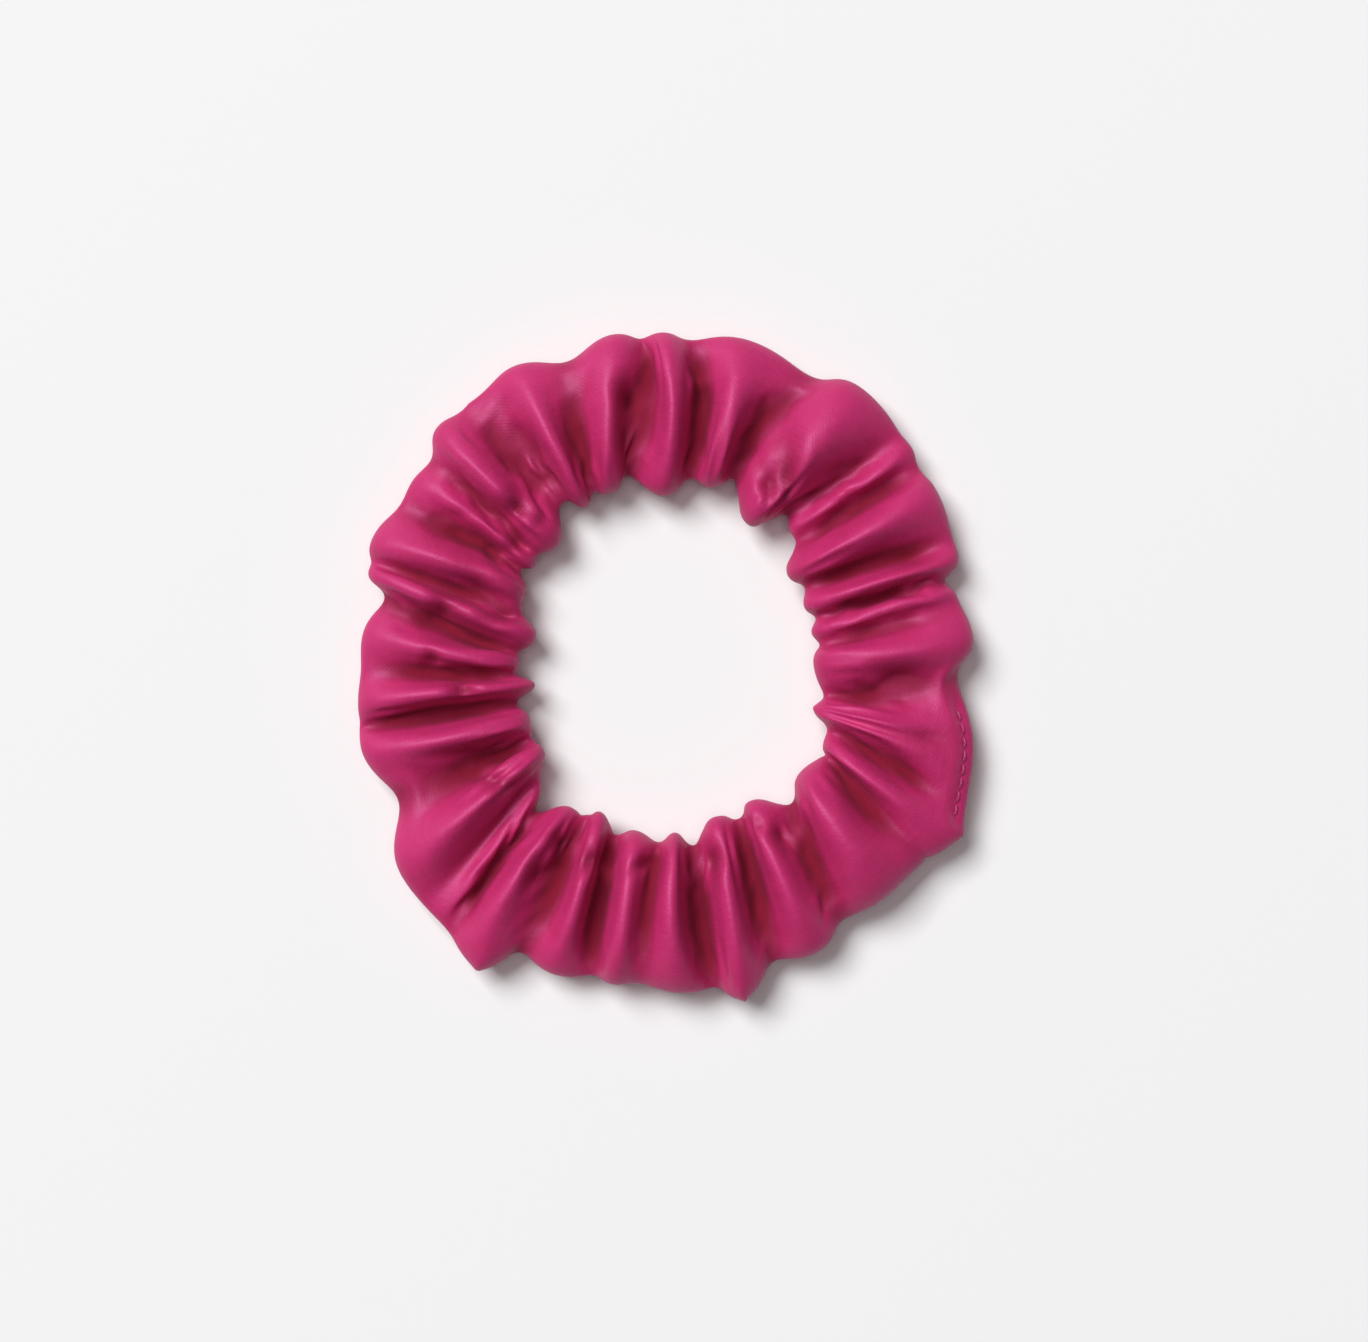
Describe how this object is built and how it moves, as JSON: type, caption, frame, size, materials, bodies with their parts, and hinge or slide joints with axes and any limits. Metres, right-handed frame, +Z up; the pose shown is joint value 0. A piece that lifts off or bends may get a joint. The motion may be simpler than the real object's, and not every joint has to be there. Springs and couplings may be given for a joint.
{
  "type": "hair scrunchie",
  "caption": "Gathered satin sleeve ruched on a closed loop of flat elastic, lying flat; the loop stretches open and springs back.",
  "frame": {"origin": "centre of the outline, at the height of the surface the scrunchie lies on", "axes": "+Z up, along the axis of the hole; +Y along the longer way across the ring; +X towards the side with the closing seam"},
  "size_m": [0.0954, 0.1006, 0.0145],
  "materials": {
    "satin": "glossy satin weave",
    "elastic": "matt braid",
    "thread": "twisted polyester thread"
  },
  "bodies": {
    "seam_end": {"sleeve_seam_end": "satin", "elastic_lower_end": "elastic", "elastic_upper_end": "elastic", "elastic_join_stitches": "thread", "long_seam_stitches_lower": "thread", "long_seam_stitches_upper": "thread", "cross_seam_stitches": "thread", "closing_topstitch": "thread"},
    "far_end": {"sleeve_far_end": "satin", "elastic_far_end": "elastic", "long_seam_stitches_far": "thread"}
  },
  "joints": [
    {"name": "stretch", "type": "slide", "parent": "seam_end", "child": "far_end", "axis": [-1, 0, 0], "range_m": [0, 0.07], "stiffness_N_per_m": 120}
  ]
}
